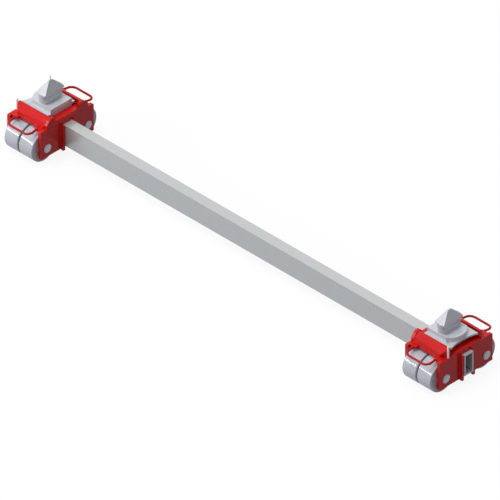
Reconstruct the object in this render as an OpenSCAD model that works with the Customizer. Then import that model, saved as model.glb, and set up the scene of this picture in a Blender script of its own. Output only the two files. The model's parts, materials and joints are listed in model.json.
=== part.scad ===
// Pair of container roller skates joined by a spreader beam.
// Frame: origin on the floor, midway between the two skates.
// +X runs along the beam, +Y is the rolling direction, +Z is up.
// One skate is drawn with its outer side towards +X; the left one is its mirror image.

/* [Spacing] */
// Distance between the two skate centres, the crosswise corner spacing of a freight container
skate_span = 2259; // [1500:1:3000]
// How far the beam runs past each skate centre
beam_overhang = 113; // [112:1:160]

/* [Beam] */
// Width of the beam's rectangular tube
beam_w = 50; // [46:1:50]
// Height of the tube
beam_h = 100; // [80:1:100]
// Wall of the tube
beam_t = 6; // [4:0.5:8]
// Height of the tube's underside above the floor
beam_z = 43; // [43:1:43]

/* [Rollers] */
// Diameter of a roller
roller_d = 140; // [130:1:140]
// Width of a roller
roller_w = 75; // [60:1:75]
// Gap between the two rollers on an axle
roller_gap = 8; // [8:1:12]
// Distance between the front and rear axles
wheelbase = 230; // [230:1:236]
// Diameter of an axle
axle_d = 30; // [24:1:30]
// Radial running clearance of the roller bearings and of the cone's shaft
run_gap = 0.05; // [0.03:0.01:0.1]

/* [Chassis] */
// Half width over the side plates
side_x = 97; // [95:1:99]
// Thickness of a side plate
side_t = 15; // [12:1:15]
// Half length of a side plate
side_y = 150; // [145:1:155]
// Height of the side plates' lower edge
side_z = 28; // [24:1:30]
// Height of the deck's top
deck_z = 160; // [158:1:162]
// Height of the inner side plate's raised middle
inner_brow_z = 178; // [170:1:180]
// Height of the outer side plate's raised middle
outer_brow_z = 166; // [164:1:172]

/* [Adapter] */
// Height of the seat that a container corner rests on
seat_z = 213; // [208:1:216]
// Radius of the seat's round side
seat_r = 73; // [70:1:74]
// Length of the cone, fitting the corner's 124 mm slot
cone_l = 119; // [110:1:122]
// Width of the cone, fitting the corner's 63.5 mm slot
cone_w = 52; // [48:1:60]
// Height of the cone's tip
tip_z = 302; // [295:1:310]

/* [Handles] */
// Diameter of a handle's rod
rod_d = 10; // [8:1:12]
// Half width of a handle between rod centres
handle_x = 62; // [55:1:65]
// Radius of a handle's corners
handle_r = 26; // [20:1:30]

/* [Hidden] */
$fn = 64;
SIDES = ["left", "right"];
ENDS = ["front", "rear"];
LANES = ["inner", "outer"];
SKATE_PARTS = ["inner_side_plate", "outer_side_plate", "deck", "front_cover", "rear_cover",
    "guide_strips", "beam_saddle", "clamp_screws", "front_handle", "rear_handle",
    "front_axle", "rear_axle", "axle_rings", "axle_spacers", "pedestal", "adapter_plate",
    "adapter_bolts", "lock_pin", "seat", "cone", "cone_nut"];

PAINT = [0.86, 0.10, 0.08];
STEEL = [0.66, 0.68, 0.72];
NYLON = [0.86, 0.87, 0.90];
BRIGHT = [0.80, 0.81, 0.83];

inner_face = side_x - side_t;          // inside of a side plate
axle_y = wheelbase / 2;
axle_z = roller_d / 2;
axle_r = axle_d / 2;
bearing_r = axle_r + 5;                // outside of a roller bearing
bearing_l = 20;
notch_y = beam_w / 2 + 1;              // half width of the side plates' beam notch
strip_y = notch_y + 11;                // outer edge of a guide strip
strip_x = side_x + 14;                 // outside of a guide strip
wall_t = 12;                           // cross walls beside the beam
brow_y = 77;                           // half length of the raised middle
ear_z = 201;                           // top of an ear
cover_in = inner_face - 2;             // cover's inner end, from the skate centre
cover_out = side_x - 8;                 // its outer end
cover_y = 83.5;                        // inside of a cover
cover_z = 199;                         // top of a cover
bend_inner = [112, 184];               // Y and Z of its bend at the inner end
bend_outer = [119, 174];               // and at the outer end
foot_y = 119.5;                        // lower front edge of a cover
lug_x = handle_x - 12;                 // inner edge of the deck's lugs under a handle
ear_y = 116;                           // front of an ear
cover_t = 6;                           // thickness of its bent plate
deck_y = 138;                          // half length of the deck
deck_t = 11;
plate_in = -63;                        // adapter plate's inner edge
plate_out = 88;                        // its outer corners
plate_dip = 14;                        // how deep its outer edge curves in
plate_y = 76.6;
plate_z = seat_z - 28;                 // its underside
plate_t = 8;
split_z = seat_z + 26;                 // joint between fixed collar and turning cone
rim_z = split_z + 20;                  // where the cone starts to taper
head_gap = 1.5;
neck_inset = 1.5;                      // how far the neck's flanks stand back under the rim
neck_l = cone_l - 2;                   // its length before the inset
seat_y = 60;                           // half length of the seat
nut_z = plate_z - 17;
nut_r = 24;
BOLTS = [[-50, -54], [-50, 54], [48, -54], [48, 54]];  // adapter bolts, from the skate centre
bolt_r = 4;
bolt_l = 18;                           // how far a bolt enters the pedestal
pin_at = [side_x - 5, -97];            // lock pin, from the skate centre

// ---- placing ----

// Puts a right-hand part at the right skate, or its mirror image at the left one
module at_skate(side) {
    if (side == "right") translate([skate_span / 2, 0, 0]) children();
    else mirror([1, 0, 0]) translate([skate_span / 2, 0, 0]) children();
}

// Turns a rear part into a front one
module at_end(end) {
    if (end == "rear") children();
    else mirror([0, 1, 0]) children();
}

module along_x(x0, x1, r) translate([x0, 0, 0]) rotate([0, 90, 0]) cylinder(r = r, h = x1 - x0);

// A box between two corners
module block(low, high) translate(low) cube(high - low);

// An outline in Y and Z, given thickness along X
module yz_plate(x0, x1) translate([x0, 0, 0]) rotate([90, 0, 90]) linear_extrude(x1 - x0) children();

// A ring around an axle
module axle_ring(x0, x1, r_out) translate([0, axle_y, axle_z]) difference() {
    along_x(x0, x1, r_out);
    along_x(x0 - 1, x1 + 1, axle_r);
}

// ---- beam ----

module beam() color(STEEL) {
    half = skate_span / 2 + beam_overhang;
    difference() {
        block([-half, -beam_w / 2, beam_z], [half, beam_w / 2, beam_z + beam_h]);
        block([-half - 1, -beam_w / 2 + beam_t, beam_z + beam_t],
            [half + 1, beam_w / 2 - beam_t, beam_z + beam_h - beam_t]);
    }
}

// ---- chassis ----

// Outline of a side plate in Y and Z, with its middle raised to top
module side_outline(top) polygon([[-side_y, side_z], [side_y, side_z], [side_y, deck_z - 4],
    [side_y - 4, deck_z], [brow_y + 6, deck_z], [brow_y, top], [-brow_y, top],
    [-brow_y - 6, deck_z], [4 - side_y, deck_z], [-side_y, deck_z - 4]]);

// Outline of the ear that holds a corner of the adapter and closes the cover's inner end
module ear_outline() polygon([[69, deck_z - 20], [ear_y, deck_z - 20], [ear_y, ear_z - 25],
    [ear_y - 13, ear_z - 7], [ear_y - 23, ear_z], [77, ear_z], [69, ear_z - 10]]);

// Side plate with the beam notch and axle holes; only the inner one has ears
module side_plate(ears) color(PAINT) {
    x0 = ears ? -side_x : inner_face;
    difference() {
        union() {
            yz_plate(x0, x0 + side_t) side_outline(ears ? inner_brow_z : outer_brow_z);
            if (ears) for (m = [0, 1]) mirror([0, m, 0]) yz_plate(x0, x0 + side_t) ear_outline();
        }
        block([x0 - 1, -notch_y, side_z - 1], [x0 + side_t + 1, notch_y, beam_z + beam_h + 1]);
        for (y = [-axle_y, axle_y]) translate([0, y, axle_z]) along_x(x0 - 1, x0 + side_t + 1, axle_r);
    }
}

// Deck plate, cut back between the handles' feet, with a ledge along the adapter and two cross walls that stand beside the beam
module deck() color(PAINT) {
    difference() {
        block([-inner_face, -deck_y, deck_z - deck_t], [inner_face, deck_y, deck_z]);
        for (s = [-1, 1]) scale([1, s, 1])
            block([-lug_x, foot_y + 2, deck_z - deck_t - 1], [lug_x, deck_y + 1, deck_z + 1]);
    }
    block([-inner_face, -brow_y, deck_z], [plate_in - 0.5, brow_y, inner_brow_z]);
    for (s = [-1, 1]) scale([1, s, 1])
        block([-inner_face, notch_y + 2, side_z], [inner_face, notch_y + 2 + wall_t, deck_z - deck_t]);
}

// Section of a cover through its bend, shrunk by inset
module cover_section(bend, inset) polygon([[cover_y, deck_z],
    [cover_y, cover_z - inset], [cover_y + 8 - inset / 3, cover_z - inset],
    [bend[0] - inset, bend[1] - inset / 2], [foot_y - inset, deck_z + 2], [foot_y - inset, deck_z]]);

// Plan of a cover: its outer end is cut back beside the bend
module cover_plan() polygon([[-cover_in, cover_y - 1], [cover_out, cover_y - 1],
    [cover_out, cover_y + 9], [cover_out - 22, cover_y + 38], [cover_out - 22, side_y], [-cover_in, side_y]]);

// The bend slants: it lies lower at the outer end
module cover_solid(inset) intersection() {
    hull() {
        yz_plate(-cover_in, 0.5 - cover_in) cover_section(bend_inner, inset);
        yz_plate(cover_out - 0.5, cover_out) cover_section(bend_outer, inset);
    }
    linear_extrude(tip_z) offset(delta = -inset) cover_plan();
}

// Stop bar and cover over a pair of rollers, hollow in front of the bar
module cover() color(PAINT) difference() {
    cover_solid(0);
    difference() {
        cover_solid(cover_t);
        block([-side_x, 0, 0], [side_x, cover_y + cover_t, tip_z]);
    }
}

// Vertical strips that stand out beside the beam on both faces
module guide_strips() color(PAINT) {
    for (sx = [-1, 1], sy = [-1, 1]) scale([sx, sy, 1])
        block([side_x, notch_y, side_z - 4], [strip_x, strip_y, beam_z + beam_h + 1]);
}

// Plate that carries the beam between the cross walls
module beam_saddle() color(PAINT) difference() {
    block([-inner_face, -notch_y - 2, side_z + 2], [inner_face, notch_y + 2, beam_z - 0.5]);
    for (x = [-45, 45]) translate([x, 0, 0]) cylinder(r = 8, h = beam_z);
}

// Screws that lock the skate on the beam from below
module clamp_screws() color(BRIGHT) for (x = [-45, 45]) translate([x, 0, 0]) {
    translate([0, 0, side_z - 8]) cylinder(r = 13.5, h = 10, $fn = 6);
    translate([0, 0, side_z + 2]) cylinder(r = 8, h = beam_z - 0.3 - side_z - 2);
}

// Bail of round rod with its two ends on the deck's edge
module handle() color(PAINT) {
    reach = 49;
    drop = 9;
    translate([0, deck_y + 0.8, deck_z - 3]) rotate([-drop, 0, 0]) {
        for (s = [-1, 1]) scale([s, 1, 1]) {
            translate([handle_x, 0, 0]) rotate([-90, 0, 0]) cylinder(r = rod_d / 2, h = reach - handle_r);
            translate([handle_x - handle_r, reach - handle_r, 0]) rotate_extrude(angle = 90)
                translate([handle_r, 0]) circle(r = rod_d / 2);
        }
        translate([0, reach, 0]) along_x(-handle_x + handle_r, handle_x - handle_r, rod_d / 2);
    }
}

// ---- rollers ----

module axle() color(STEEL) translate([0, axle_y, axle_z]) along_x(-side_x - 6, side_x + 6, axle_r);

// Retaining rings on both ends of both axles
module axle_rings() color(BRIGHT) for (e = ENDS, s = [-1, 1]) at_end(e) scale([s, 1, 1])
    axle_ring(side_x, side_x + 4, axle_r + 4.5);

// Washers beside and between the rollers
module axle_spacers() color(BRIGHT) for (e = ENDS) at_end(e) {
    for (s = [-1, 1]) scale([s, 1, 1])
        axle_ring(roller_gap / 2 + roller_w + 0.3, inner_face, axle_r + 4);
    axle_ring(0.3 - roller_gap / 2, roller_gap / 2 - 0.3, axle_r + 4);
}

// Moulded roller with rounded rims, bearing seats and a relieved middle bore
module roller(lane) color(NYLON) {
    x0 = lane == "outer" ? roller_gap / 2 : -roller_gap / 2 - roller_w;
    edge = 4;
    r = roller_d / 2;
    translate([x0, axle_y, axle_z]) rotate([0, 90, 0]) difference() {
        rotate_extrude($fn = 128) {
            square([r - edge, roller_w]);
            translate([0, edge]) square([r, roller_w - 2 * edge]);
            for (z = [edge, roller_w - edge]) translate([r - edge, z]) circle(r = edge, $fn = 32);
        }
        translate([0, 0, -1]) cylinder(r = axle_r + 2, h = roller_w + 2);
        for (z = [-1, roller_w - bearing_l]) translate([0, 0, z]) cylinder(r = bearing_r, h = bearing_l + 1);
    }
}

// The two plain bearings pressed into one roller
module bearings(lane) color(BRIGHT) {
    x0 = lane == "outer" ? roller_gap / 2 : -roller_gap / 2 - roller_w;
    for (x = [x0, x0 + roller_w - bearing_l]) translate([x, axle_y, axle_z]) difference() {
        along_x(0, bearing_l, bearing_r);
        along_x(-1, bearing_l + 1, axle_r + run_gap);
    }
}

// ---- container adapter ----

// Block under the adapter plate, hollow for the cone's nut
module pedestal() color(STEEL) difference() {
    block([plate_in, -seat_y, deck_z], [56, seat_y, plate_z]);
    translate([0, 0, deck_z - 1]) cylinder(r = nut_r + 6, h = plate_z - deck_z - 4);
    cylinder(r = axle_r + 1, h = tip_z);
    for (b = BOLTS) translate([b[0], b[1], plate_z - bolt_l]) cylinder(r = bolt_r, h = bolt_l + 1);
}

module adapter_plate() color(STEEL) difference() {
    dip_r = (plate_y * plate_y + plate_dip * plate_dip) / (2 * plate_dip);
    block([plate_in, -plate_y, plate_z], [plate_out, plate_y, plate_z + plate_t]);
    translate([plate_out - plate_dip + dip_r, 0, 0]) cylinder(r = dip_r, h = tip_z, $fn = 200);
    cylinder(r = axle_r + 1, h = tip_z);
    for (b = BOLTS) translate([b[0], b[1], 0]) {
        cylinder(r = bolt_r, h = tip_z);
        translate([0, 0, plate_z + plate_t - 5]) cylinder(r = bolt_r + 2.5, h = 6);
    }
}

// Sunk screws that hold the plate on the pedestal
module adapter_bolts() color(BRIGHT) for (b = BOLTS) translate([b[0], b[1], 0]) {
    translate([0, 0, plate_z - bolt_l]) cylinder(r = bolt_r, h = bolt_l + plate_t - 5);
    translate([0, 0, plate_z + plate_t - 5]) cylinder(r = bolt_r + 2.5, h = 4.5);
}

// Polished pin beside the adapter's front outer corner
module lock_pin() color(BRIGHT) translate([pin_at[0], pin_at[1], deck_z]) {
    cylinder(r = 4.5, h = seat_z - deck_z - 3);
    translate([0, 0, seat_z - deck_z - 3]) cylinder(r = 3.5, h = 3);
}

// Neck under the cone and on the seat, rounded at both ends
module neck_plan() hull() for (s = [-1, 1]) translate([0, s * (neck_l - cone_w) / 2])
    circle(r = cone_w / 2 - neck_inset, $fn = 48);

// Straight inner side and flanks, and a round outer side
module seat_plan() {
    translate([plate_in, -seat_y]) square([40 - plate_in, 2 * seat_y]);
    intersection() {
        circle(r = seat_r, $fn = 96);
        translate([0, -seat_y]) square([seat_r, 2 * seat_y]);
    }
}

// Seat for the container corner, with the collar that centres it
module seat() color(STEEL) difference() {
    union() {
        translate([0, 0, plate_z + plate_t]) linear_extrude(seat_z - plate_z - plate_t) seat_plan();
        translate([0, 0, seat_z]) linear_extrude(split_z - seat_z) neck_plan();
    }
    cylinder(r = axle_r + run_gap, h = tip_z);
}

// Turning head: a straight neck, then a cone with two flat sides like a roof, on a shaft
module cone() color(STEEL) {
    rim_low = rim_z - 5;
    translate([0, 0, split_z + head_gap]) linear_extrude(rim_low - split_z - head_gap) neck_plan();
    intersection() {
        rotate_extrude($fn = 96) polygon([[0, rim_low], [cone_l / 2, rim_low], [cone_l / 2, rim_z],
            [10, tip_z], [0, tip_z]]);
        rotate([90, 0, 0]) linear_extrude(cone_l, center = true) polygon([[-cone_w / 2, rim_low],
            [cone_w / 2, rim_low], [cone_w / 2, rim_z], [3, tip_z], [-3, tip_z], [-cone_w / 2, rim_z]]);
    }
    translate([0, 0, nut_z - 2]) cylinder(r = axle_r, h = rim_low - nut_z + 2);
}

module cone_nut() color(BRIGHT) translate([0, 0, nut_z]) difference() {
    cylinder(r = nut_r, h = 11.5, $fn = 6);
    translate([0, 0, -1]) cylinder(r = axle_r, h = 14);
}

// Slender locating needle on the left cone only
module tip_pin() color(BRIGHT) translate([0, 0, tip_z]) {
    cylinder(r = 2, h = 18);
    translate([0, 0, 18]) cylinder(r1 = 2, r2 = 0.5, h = 7);
}

// ---- everything, one node at a time ----

beam();
at_skate("left") tip_pin();  // left_tip_pin

for (s = SIDES) {
    at_skate(s) side_plate(true);
    at_skate(s) side_plate(false);
    at_skate(s) deck();
    at_skate(s) guide_strips();
    at_skate(s) beam_saddle();
    at_skate(s) clamp_screws();
    at_skate(s) axle_rings();
    at_skate(s) axle_spacers();
    at_skate(s) pedestal();
    at_skate(s) adapter_plate();
    at_skate(s) adapter_bolts();
    at_skate(s) lock_pin();
    at_skate(s) seat();
    at_skate(s) cone();
    at_skate(s) cone_nut();
    for (e = ENDS) {
        at_skate(s) at_end(e) cover();
        at_skate(s) at_end(e) handle();
        at_skate(s) at_end(e) axle();
        for (l = LANES) {
            at_skate(s) at_end(e) roller(l);
            at_skate(s) at_end(e) bearings(l);
        }
    }
}
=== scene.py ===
"""Two container roller skates joined by a spreader beam, dressed and lit for a studio picture."""
import json
import math

import bmesh
import bpy
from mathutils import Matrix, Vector


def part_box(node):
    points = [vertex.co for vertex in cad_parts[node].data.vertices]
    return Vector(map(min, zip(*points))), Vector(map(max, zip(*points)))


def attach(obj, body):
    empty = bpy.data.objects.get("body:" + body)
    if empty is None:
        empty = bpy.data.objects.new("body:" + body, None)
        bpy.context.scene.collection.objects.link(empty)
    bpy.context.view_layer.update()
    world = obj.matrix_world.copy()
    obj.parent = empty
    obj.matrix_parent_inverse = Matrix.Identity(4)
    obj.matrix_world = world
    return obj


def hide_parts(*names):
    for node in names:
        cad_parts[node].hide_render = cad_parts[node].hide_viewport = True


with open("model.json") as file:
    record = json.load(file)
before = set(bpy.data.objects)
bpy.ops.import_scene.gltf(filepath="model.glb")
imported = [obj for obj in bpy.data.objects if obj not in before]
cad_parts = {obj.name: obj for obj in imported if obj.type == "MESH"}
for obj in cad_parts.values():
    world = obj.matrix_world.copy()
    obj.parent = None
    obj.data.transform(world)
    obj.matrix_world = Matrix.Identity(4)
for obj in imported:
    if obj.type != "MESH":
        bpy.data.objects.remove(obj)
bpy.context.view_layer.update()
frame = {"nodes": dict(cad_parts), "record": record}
nodes = frame["nodes"]

MM = 0.001
SIDES = ("left", "right")
ENDS = {"front": -1, "rear": 1}          # and the way each one lies along Y
LANES = ("inner", "outer")

# ---- camera ----

VIEW_WIDTH = 2.006           # metres across the picture
LENS = 1700                  # millimetres; long, so that the view is nearly parallel
SENSOR = 36
ELEVATION = math.radians(35.264)
AZIMUTH = math.radians(45)
AIM = Vector((0.0089, 0.0010, 0.0295))


def make_camera():
    """A nearly parallel view from the front right, at the isometric angle."""
    data = bpy.data.cameras.new("camera")
    data.lens = LENS
    data.sensor_width = SENSOR
    back = Vector((math.sin(AZIMUTH) * math.cos(ELEVATION), -math.cos(AZIMUTH) * math.cos(ELEVATION),
                   math.sin(ELEVATION)))
    distance = VIEW_WIDTH * LENS / SENSOR
    data.clip_start = distance / 2
    data.clip_end = distance * 2
    camera = bpy.data.objects.new("camera", data)
    camera.location = AIM + back * distance
    camera.rotation_mode = "QUATERNION"
    camera.rotation_quaternion = (-back).to_track_quat("-Z", "Y")
    bpy.context.scene.collection.objects.link(camera)
    bpy.context.scene.camera = camera


# ---- light and floor ----

SKY_TOP = 0.90
SKY_HORIZON = 0.52
SKY_TOP_FROM = 0.8           # height in the sky, as a sine, above which it is fully bright
DARK_TOWARD = (0.85, 0, -0.5)
DARK_FROM = -0.35            # the darkening starts at this nearness to DARK_TOWARD
DARK_FULL = 0.6              # and is complete at this one
SKY_DARK_SIDE = 0.12

KEY_TOWARD = (-0.25, -0.35, 1.3)
KEY_STRENGTH = 1.0
KEY_SOFTNESS = 14            # degrees
STRIP_TOWARD = (-0.577, -0.754, 0.314)
STRIP_DISTANCE = 9.0
STRIP_SIZE = (6.5, 0.40)
STRIP_POWER = 330

FLOOR_HALF = 40              # metres
FLOOR_WHITE = (0.95, 0.95, 0.95, 1)
FLOOR_GLOW = 0.9             # share of plain white, which hides that much of the shadows
FLOOR_BOUNCE = (0.32, 0.32, 0.33, 1)
FLOOR_MIRRORED = (0.50, 0.52, 0.57, 1)
WHITE = (1, 1, 1, 1)


def set_ramp(node, low, high, to_low, to_high):
    """Makes a Map Range node run from to_low to to_high between low and high."""
    sockets = ("From Min", "From Max", "To Min", "To Max")
    for socket, number in zip(sockets, (low, high, to_low, to_high)):
        node.inputs[socket].default_value = number


def area_light(name, toward, distance, size, power):
    """A rectangular light in the direction toward, facing the origin."""
    data = bpy.data.lights.new(name, "AREA")
    data.shape = "RECTANGLE"
    data.size, data.size_y = size
    data.energy = power
    light = bpy.data.objects.new(name, data)
    direction = Vector(toward).normalized()
    light.location = direction * distance
    light.rotation_mode = "QUATERNION"
    light.rotation_quaternion = direction.to_track_quat("Z", "Y")
    light.visible_camera = False
    bpy.context.scene.collection.objects.link(light)


def sun(name, toward, strength, softness):
    """A distant light in the direction toward."""
    data = bpy.data.lights.new(name, "SUN")
    data.energy = strength
    data.angle = math.radians(softness)
    light = bpy.data.objects.new(name, data)
    light.rotation_mode = "QUATERNION"
    light.rotation_quaternion = Vector(toward).normalized().to_track_quat("Z", "Y")
    bpy.context.scene.collection.objects.link(light)


def make_world():
    """Surroundings: white to the camera; as light, bright overhead and dark low down towards +X."""
    world = bpy.data.worlds.new("studio")
    bpy.context.scene.world = world
    world.use_nodes = True
    tree = world.node_tree
    tree.nodes.clear()
    link = tree.links.new
    coord = tree.nodes.new("ShaderNodeTexCoord")

    def along(direction, low, high, to_low, to_high):
        """A level that runs from to_low to to_high as the sky turns towards direction."""
        dot = tree.nodes.new("ShaderNodeVectorMath")
        dot.operation = "DOT_PRODUCT"
        dot.inputs[1].default_value = direction
        ramp = tree.nodes.new("ShaderNodeMapRange")
        set_ramp(ramp, low, high, to_low, to_high)
        link(coord.outputs["Generated"], dot.inputs[0])
        link(dot.outputs["Value"], ramp.inputs["Value"])
        return ramp.outputs["Result"]

    level = tree.nodes.new("ShaderNodeMath")
    level.operation = "MULTIPLY"
    link(along((0, 0, 1), 0.0, SKY_TOP_FROM, SKY_HORIZON, SKY_TOP), level.inputs[0])
    link(along(DARK_TOWARD, DARK_FROM, DARK_FULL, 1.0, SKY_DARK_SIDE), level.inputs[1])
    back = tree.nodes.new("ShaderNodeBackground")
    white = tree.nodes.new("ShaderNodeBackground")
    white.inputs["Color"].default_value = WHITE
    path = tree.nodes.new("ShaderNodeLightPath")
    mix = tree.nodes.new("ShaderNodeMixShader")
    out = tree.nodes.new("ShaderNodeOutputWorld")
    link(level.outputs["Value"], back.inputs["Color"])
    link(path.outputs["Is Camera Ray"], mix.inputs["Fac"])
    link(back.outputs["Background"], mix.inputs[1])
    link(white.outputs["Background"], mix.inputs[2])
    link(mix.outputs["Shader"], out.inputs["Surface"])


def make_floor():
    """A floor that is nearly white to the camera, pale in reflections and dark as a source of light."""
    mesh = bpy.data.meshes.new("floor")
    corners = [(x * FLOOR_HALF, y * FLOOR_HALF, 0) for x, y in ((-1, -1), (1, -1), (1, 1), (-1, 1))]
    mesh.from_pydata(corners, [], [(0, 1, 2, 3)])
    floor = bpy.data.objects.new("floor", mesh)
    bpy.context.scene.collection.objects.link(floor)
    material = bpy.data.materials.new("floor")
    material.use_nodes = True
    tree = material.node_tree
    tree.nodes.clear()
    diffuse = tree.nodes.new("ShaderNodeBsdfDiffuse")
    diffuse.inputs["Color"].default_value = FLOOR_WHITE
    bounce = tree.nodes.new("ShaderNodeBsdfDiffuse")
    bounce.inputs["Color"].default_value = FLOOR_BOUNCE
    path = tree.nodes.new("ShaderNodeLightPath")
    mirrored = tree.nodes.new("ShaderNodeEmission")
    mirrored.inputs["Color"].default_value = FLOOR_MIRRORED
    shine = tree.nodes.new("ShaderNodeMixShader")
    seen = tree.nodes.new("ShaderNodeMixShader")
    glow = tree.nodes.new("ShaderNodeEmission")
    glow.inputs["Color"].default_value = WHITE
    mix = tree.nodes.new("ShaderNodeMixShader")
    mix.inputs["Fac"].default_value = FLOOR_GLOW
    out = tree.nodes.new("ShaderNodeOutputMaterial")
    tree.links.new(diffuse.outputs["BSDF"], mix.inputs[1])
    tree.links.new(glow.outputs["Emission"], mix.inputs[2])
    tree.links.new(path.outputs["Is Camera Ray"], seen.inputs["Fac"])
    tree.links.new(path.outputs["Is Glossy Ray"], shine.inputs["Fac"])
    tree.links.new(bounce.outputs["BSDF"], shine.inputs[1])
    tree.links.new(mirrored.outputs["Emission"], shine.inputs[2])
    tree.links.new(shine.outputs["Shader"], seen.inputs[1])
    tree.links.new(mix.outputs["Shader"], seen.inputs[2])
    tree.links.new(seen.outputs["Shader"], out.inputs["Surface"])
    mesh.materials.append(material)


# ---- materials ----

class Shader:
    """A small helper that wires one Principled material."""

    def __init__(self, name, **fixed):
        self.material = bpy.data.materials.new(name)
        self.material.use_nodes = True
        self.tree = self.material.node_tree
        self.principled = self.tree.nodes["Principled BSDF"]
        for socket, value in fixed.items():
            self.principled.inputs[socket.replace("_", " ")].default_value = value
        self.coord = self.tree.nodes.new("ShaderNodeTexCoord").outputs["Object"]

    def link(self, a, b):
        self.tree.links.new(a, b)

    def noise(self, scale, detail=4, stretch=(1, 1, 1)):
        """Noise in object space; stretch above 1 squeezes it along that axis."""
        mapping = self.tree.nodes.new("ShaderNodeMapping")
        mapping.inputs["Scale"].default_value = stretch
        node = self.tree.nodes.new("ShaderNodeTexNoise")
        node.inputs["Scale"].default_value = scale
        node.inputs["Detail"].default_value = detail
        self.link(self.coord, mapping.inputs["Vector"])
        self.link(mapping.outputs["Vector"], node.inputs["Vector"])
        return node.outputs["Fac"]

    def remap(self, value, low, high, to_low, to_high):
        node = self.tree.nodes.new("ShaderNodeMapRange")
        set_ramp(node, low, high, to_low, to_high)
        self.link(value, node.inputs["Value"])
        return node.outputs["Result"]

    def times(self, a, b):
        node = self.tree.nodes.new("ShaderNodeMath")
        node.operation = "MULTIPLY"
        self.link(a, node.inputs[0])
        self.link(b, node.inputs[1])
        return node.outputs["Value"]

    def mix(self, fac, a, b):
        """A colour between a and b; each is a colour or a socket."""
        node = self.tree.nodes.new("ShaderNodeMix")
        node.data_type = "RGBA"
        self.link(fac, node.inputs[0])
        for socket, value in ((node.inputs[6], a), (node.inputs[7], b)):
            if isinstance(value, (tuple, list)):
                socket.default_value = (*value[:3], 1)
            else:
                self.link(value, socket)
        return node.outputs[2]

    def edges(self, radius):
        """1 on sharp convex or concave edges and 0 on flat faces."""
        bevel = self.tree.nodes.new("ShaderNodeBevel")
        bevel.samples = 4
        bevel.inputs["Radius"].default_value = radius
        geometry = self.tree.nodes.new("ShaderNodeNewGeometry")
        dot = self.tree.nodes.new("ShaderNodeVectorMath")
        dot.operation = "DOT_PRODUCT"
        self.link(bevel.outputs["Normal"], dot.inputs[0])
        self.link(geometry.outputs["Normal"], dot.inputs[1])
        return self.remap(dot.outputs["Value"], 0.98, 0.80, 0.0, 1.0)

    def bump(self, height, strength, distance):
        node = self.tree.nodes.new("ShaderNodeBump")
        node.inputs["Strength"].default_value = strength
        node.inputs["Distance"].default_value = distance
        self.link(height, node.inputs["Height"])
        self.link(node.outputs["Normal"], self.principled.inputs["Normal"])

    def set(self, socket, value):
        self.link(value, self.principled.inputs[socket])


def worn_paint(name, colour, shade, worn, rough, coat):
    """Glossy enamel: soft colour variation, orange peel, and a little wear along edges."""
    s = Shader(name, Coat_Weight=coat, Coat_Roughness=0.05, Specular_IOR_Level=0.2)
    broad = s.remap(s.noise(9, 5), 0.35, 0.7, 0, 1)
    chips = s.times(s.edges(1.6 * MM), s.remap(s.noise(160, 6), 0.56, 0.66, 0, 0.55))
    s.set("Base Color", s.mix(chips, s.mix(broad, colour, shade), worn))
    s.set("Roughness", s.remap(s.noise(30, 5), 0.3, 0.7, rough - 0.04, rough + 0.08))
    s.bump(s.noise(420, 2), 0.10, 0.3 * MM)
    return s.material


def steel(name, colour, shade, rough, stretch, metallic):
    """Grey steel with rolled or turned streaks."""
    s = Shader(name, Metallic=metallic, Coat_Weight=0.25, Coat_Roughness=0.12)
    streaks = s.remap(s.noise(60, 6, stretch), 0.3, 0.7, 0, 1)
    worn = s.times(s.edges(1.5 * MM), s.remap(s.noise(120, 5), 0.45, 0.6, 0, 0.6))
    bright = tuple(min(1, c * 1.35) for c in colour)
    s.set("Base Color", s.mix(worn, s.mix(streaks, colour, shade), bright))
    s.set("Roughness", s.remap(s.noise(45, 6, stretch), 0.3, 0.7, rough - 0.05, rough + 0.08))
    s.bump(s.noise(90, 2, stretch), 0.02, 0.1 * MM)
    return s.material


def nylon(name, colour, shade):
    """Cast nylon: milky, smooth, with fine turning marks round the tread and a few scuffs."""
    s = Shader(name, Coat_Weight=0.5, Coat_Roughness=0.06, Subsurface_Weight=0.04)
    s.principled.inputs["Subsurface Radius"].default_value = (2 * MM, 2 * MM, 2.2 * MM)
    s.principled.inputs["Subsurface Scale"].default_value = 1.0
    cloud = s.remap(s.noise(14, 4), 0.35, 0.65, 0, 1)
    scuff = s.remap(s.noise(70, 8, (1, 3, 3)), 0.62, 0.72, 0, 0.25)
    s.set("Base Color", s.mix(scuff, s.mix(cloud, colour, shade), (0.45, 0.45, 0.47)))
    s.set("Roughness", s.remap(s.noise(40, 6), 0.3, 0.7, 0.16, 0.30))
    s.bump(s.noise(350, 3, (6, 0.4, 0.4)), 0.06, 0.2 * MM)
    return s.material


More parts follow.
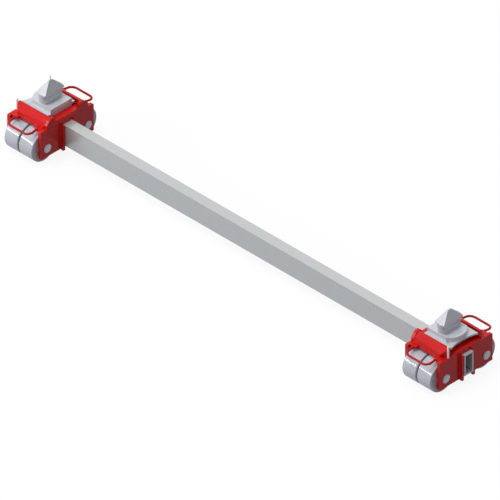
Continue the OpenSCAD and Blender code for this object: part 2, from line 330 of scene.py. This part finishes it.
def make_materials():
    """One material for each material slot of the record."""
    return {
        "red_paint": worn_paint("red_enamel", (0.62, 0.006, 0.006), (0.54, 0.004, 0.004),
                                (0.34, 0.10, 0.09), 0.26, 0.2),
        "handle_paint": worn_paint("handle_enamel", (0.48, 0.006, 0.008), (0.40, 0.004, 0.005),
                                   (0.34, 0.12, 0.11), 0.28, 0.05),
        "beam_steel": steel("beam_grey", (0.58, 0.60, 0.60), (0.565, 0.585, 0.585),
                            0.20, (0.4, 12, 12), 0.35),
        "adapter_steel": steel("adapter_grey", (0.63, 0.645, 0.695), (0.595, 0.61, 0.66),
                               0.34, (1, 1, 1), 0.25),
        "axle_steel": steel("turned_steel", (0.74, 0.74, 0.77), (0.64, 0.64, 0.67), 0.28, (8, 1, 1), 0.3),
        "zinc_steel": steel("zinc_plate", (0.62, 0.63, 0.65), (0.54, 0.55, 0.57), 0.26, (4, 4, 4), 0.5),
        # Near-white base colour: partly the pin's own bright polished steel, partly a painted highlight
        # that stands in for the gleam along the pin.
        "polished_steel": steel("polished_steel", (0.90, 0.90, 0.91), (0.84, 0.84, 0.85),
                                0.12, (4, 4, 4), 0.2),
        "bearing_bronze": steel("bronze", (0.42, 0.30, 0.16), (0.36, 0.25, 0.13), 0.34, (6, 1, 1), 0.8),
        "roller_nylon": nylon("cast_nylon", (0.52, 0.53, 0.60), (0.47, 0.48, 0.54)),
    }


# ---- meshes ----

def new_piece(name, mesh, body, material, smooth_angle=35):
    """A finished mesh as a piece that rides on a body."""
    piece = bpy.data.objects.new(name, mesh)
    bpy.context.scene.collection.objects.link(piece)
    mesh.materials.append(material)
    for polygon in mesh.polygons:
        polygon.use_smooth = True
    mesh.set_sharp_from_angle(angle=math.radians(smooth_angle))
    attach(piece, body)
    return piece


def arc(centre, radius, start, stop, steps):
    """Points along an arc; angles in degrees."""
    angles = [math.radians(start + (stop - start) * i / steps) for i in range(steps + 1)]
    return [(centre[0] + radius * math.cos(a), centre[1] + radius * math.sin(a)) for a in angles]


def lathe(name, profile, axis_point, turns=128):
    """A closed profile of (along X, radius) points turned about an axis parallel to X."""
    mesh = bpy.data.meshes.new(name)
    vertices, faces = [], []
    count = len(profile)
    for i in range(turns):
        angle = 2 * math.pi * i / turns
        for along, radius in profile:
            y = axis_point[1] + radius * math.cos(angle)
            z = axis_point[2] + radius * math.sin(angle)
            vertices.append((along, y, z))
    for i in range(turns):
        for j in range(count):
            a, b = i * count + j, i * count + (j + 1) % count
            c, d = (i + 1) % turns * count + (j + 1) % count, (i + 1) % turns * count + j
            faces.append((a, b, c, d))
    mesh.from_pydata(vertices, [], faces)
    tidy_normals(mesh)
    return mesh


def tidy_normals(mesh):
    """Turns all faces outwards."""
    bm = bmesh.new()
    bm.from_mesh(mesh)
    bmesh.ops.recalc_face_normals(bm, faces=bm.faces)
    bm.to_mesh(mesh)
    bm.free()


def tube(name, points, radius, sides=16, closed=False):
    """A tube along points; radius is a number or a function of the point's index."""
    mesh = bpy.data.meshes.new(name)
    vertices, faces = [], []
    count = len(points)
    normal = None
    for i, point in enumerate(points):
        before = points[i - 1] if i or closed else points[i]
        after = points[(i + 1) % count] if i < count - 1 or closed else points[i]
        along = (after - before).normalized()
        if normal is None:
            normal = along.orthogonal().normalized()
        normal = (normal - along * normal.dot(along)).normalized()
        other = along.cross(normal)
        r = radius(i) if callable(radius) else radius
        for k in range(sides):
            angle = 2 * math.pi * k / sides
            vertices.append(point + (normal * math.cos(angle) + other * math.sin(angle)) * r)
    rings = count if closed else count - 1
    for i in range(rings):
        for k in range(sides):
            a, b = i * sides + k, i * sides + (k + 1) % sides
            c, d = (i + 1) % count * sides + (k + 1) % sides, (i + 1) % count * sides + k
            faces.append((a, b, c, d))
    if not closed:
        faces.append(tuple(range(sides))[::-1])
        faces.append(tuple((count - 1) * sides + k for k in range(sides)))
    mesh.from_pydata([tuple(v) for v in vertices], [], faces)
    tidy_normals(mesh)
    return mesh


# ---- dressing the CAD nodes ----

NODE_SHARP = 32              # degrees between two faces from which the edge is drawn sharp
FLAT_ANGLE = 0.6             # degrees up to which two triangles count as one flat face
BEVEL_ANGLE = 24             # degrees from which an edge is rounded
BEVEL_SEGMENTS = 3
ROUND_WORDS = ("axle", "bearings", "rings", "spacers", "tip_pin", "lock_pin", "handle")
# Width of the rounded edges in millimetres; the first word found in a node's name counts
EDGE_WIDTH = {"beam": 3.0, "cover": 3.5, "plate": 1.2, "deck": 1.0, "strips": 1.6, "seat": 1.6,
              "cone": 2.2, "pedestal": 1.2, "saddle": 1.0, "screws": 0.7, "nut": 0.8, "bolts": 0.5}


def shade_node(node, material):
    """Gives a CAD node its material, smooth shading and sharp edges."""
    mesh = node.data
    mesh.materials.clear()
    mesh.materials.append(material)
    for polygon in mesh.polygons:
        polygon.use_smooth = True
        polygon.material_index = 0
    mesh.set_sharp_from_angle(angle=math.radians(NODE_SHARP))


def round_edges(node, width):
    """Merges flat triangles into faces and rounds the edges between them."""
    merge = node.modifiers.new("merge flat faces", "DECIMATE")
    merge.decimate_type = "DISSOLVE"
    merge.angle_limit = math.radians(FLAT_ANGLE)
    bevel = node.modifiers.new("rounded edges", "BEVEL")
    bevel.width = width * MM
    bevel.segments = BEVEL_SEGMENTS
    bevel.limit_method = "ANGLE"
    bevel.angle_limit = math.radians(BEVEL_ANGLE)
    bevel.miter_outer = "MITER_ARC"
    bevel.harden_normals = True


def dress_frame(materials):
    """Dresses every CAD node by its material slot and rounds the edges of the flat ones."""
    slots = {part["node"]: part["material_slot"] for part in frame["record"]["subparts"]}
    for name, node in nodes.items():
        shade_node(node, materials[slots[name]])
        if not any(word in name for word in ROUND_WORDS):
            width = next((w for word, w in EDGE_WIDTH.items() if word in name), 0)
            if width:
                round_edges(node, width)


# ---- rollers ----

ROLLER_R = 70 * MM
RIM_R = 4 * MM
FACE_RECESS = 1.2 * MM
HUB_R = 33 * MM
BORE_R = 20.02 * MM
RECESS_LOW = HUB_R + 1.5 * MM            # the recess in a face, past its slope at the hub
RECESS_HIGH = ROLLER_R - 9 * MM
LAND_R = ROLLER_R - 7.5 * MM             # from here out the face is flat again
RIM_STEPS = 6


def make_roller(side, end, lane, material):
    """Replaces one roller by a turned form with round rims, a shallow face recess and a hub."""
    node = f"{side}_{end}_{lane}_roller"
    low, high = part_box(node)
    x0, x1 = low.x, high.x
    centre = (low + high) / 2
    profile = [(x0, BORE_R), (x0, HUB_R)]
    profile += [(x0 + FACE_RECESS, RECESS_LOW), (x0 + FACE_RECESS, RECESS_HIGH), (x0, LAND_R)]
    profile += arc((x0 + RIM_R, ROLLER_R - RIM_R), RIM_R, 180, 90, RIM_STEPS)
    profile += arc((x1 - RIM_R, ROLLER_R - RIM_R), RIM_R, 90, 0, RIM_STEPS)
    profile += [(x1, LAND_R), (x1 - FACE_RECESS, RECESS_HIGH), (x1 - FACE_RECESS, RECESS_LOW)]
    profile += [(x1, HUB_R), (x1, BORE_R)]
    mesh = lathe(f"{node}_turned", profile, centre)
    piece = new_piece(f"{node}_turned", mesh, f"{side}_{end}_{lane}_wheel", material)
    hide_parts(node)


# ---- weld beads ----

BEAD_R = 2.6 * MM
BEAD_STEP = 1.1 * MM
BEAD_SIDES = 8
BEAD_SHARP = 80
RIPPLE = 0.14                # how much of its radius a bead swells and shrinks by
RIPPLE_TURN = 1.9            # radians of a ripple for each ring of points
RING_STEPS = 40

STRIP_WELD_START = 6 * MM    # above the side plates' lower edge
STRIP_WELD_STOP = 2 * MM     # below the strips' top
COVER_WELD_R = 2.0 * MM
COVER_WELD_INSET = 30 * MM
FOOT_WELD_R = 1.7 * MM
FOOT_WELD_RING = 5.3 * MM
FOOT_WELD_OUT = 2.2 * MM     # in front of the deck's edge
FOOT_WELD_DROP = 3.2 * MM    # below the deck's top
FOOT_SLOPE = -0.16           # fall of a handle's rod for each unit outwards
FOOT_INSET = 5 * MM          # from the handle's side to the middle of its rod


def ripple(radius):
    """The radius of a bead at each ring of points."""
    return lambda i: radius * (1 - RIPPLE + RIPPLE * math.sin(i * RIPPLE_TURN))


def bead(name, start, stop, body, material, radius=BEAD_R):
    """A rippled weld bead along a straight seam."""
    start, stop = Vector(start), Vector(stop)
    count = max(4, int((stop - start).length / BEAD_STEP))
    points = [start.lerp(stop, i / count) for i in range(count + 1)]
    mesh = tube(name, points, ripple(radius), BEAD_SIDES)
    return new_piece(name, mesh, body, material, BEAD_SHARP)


def ring_bead(name, centre, axis, ring_r, body, material, radius):
    """A rippled weld bead around a round rod."""
    axis = Vector(axis).normalized()
    u = axis.orthogonal().normalized()
    v = axis.cross(u)
    points = []
    for i in range(RING_STEPS):
        angle = 2 * math.pi * i / RING_STEPS
        points.append(Vector(centre) + (u * math.cos(angle) + v * math.sin(angle)) * ring_r)
    mesh = tube(name, points, ripple(radius), BEAD_SIDES, closed=True)
    return new_piece(name, mesh, body, material, BEAD_SHARP)


def weld_skate(side, material):
    """Beads along the guide strips, under the covers and round the handles' feet."""
    body = f"{side}_skate"
    strips_low, strips_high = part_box(f"{side}_guide_strips")
    inner_low, inner_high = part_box(f"{side}_inner_side_plate")
    outer_low, outer_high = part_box(f"{side}_outer_side_plate")
    left = side == "left"
    faces = {"inner": inner_high.x if left else inner_low.x, "outer": outer_low.x if left else outer_high.x}
    bottom = inner_low.z + STRIP_WELD_START
    top = strips_high.z - STRIP_WELD_STOP
    for face, x in faces.items():
        for name, y in (("front", strips_low.y), ("rear", strips_high.y)):
            bead(f"{side}_{face}_{name}_strip_weld", (x, y, bottom), (x, y, top), body, material)
    deck_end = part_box(f"{side}_deck")[1].y
    for end, sign in ENDS.items():
        cover_low, cover_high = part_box(f"{side}_{end}_cover")
        deck_top = cover_low.z
        y = cover_low.y if end == "front" else cover_high.y
        bead(f"{side}_{end}_cover_weld", (cover_low.x + COVER_WELD_INSET, y, deck_top),
             (cover_high.x - COVER_WELD_INSET, y, deck_top), body, material, COVER_WELD_R)
        handle_low, handle_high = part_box(f"{side}_{end}_handle")
        edge = sign * (deck_end + FOOT_WELD_OUT)
        for tag, x in (("a", handle_low.x + FOOT_INSET), ("b", handle_high.x - FOOT_INSET)):
            ring_bead(f"{side}_{end}_handle_weld_{tag}", (x, edge, deck_top - FOOT_WELD_DROP),
                      (0, sign, FOOT_SLOPE), FOOT_WELD_RING, body, material, FOOT_WELD_R)


# ---- everything ----

def set_look():
    """Plain colours, with no film curve."""
    view = bpy.context.scene.view_settings
    view.view_transform = "Standard"
    view.look = "None"
    view.exposure = 0.0
    view.gamma = 1.0


make_camera()
set_look()
make_world()
make_floor()
sun("key", KEY_TOWARD, KEY_STRENGTH, KEY_SOFTNESS)
area_light("front_strip", STRIP_TOWARD, STRIP_DISTANCE, STRIP_SIZE, STRIP_POWER)
materials = make_materials()
dress_frame(materials)
for side in SIDES:
    for end in ENDS:
        for lane in LANES:
            make_roller(side, end, lane, materials["roller_nylon"])
    weld_skate(side, materials["red_paint"])
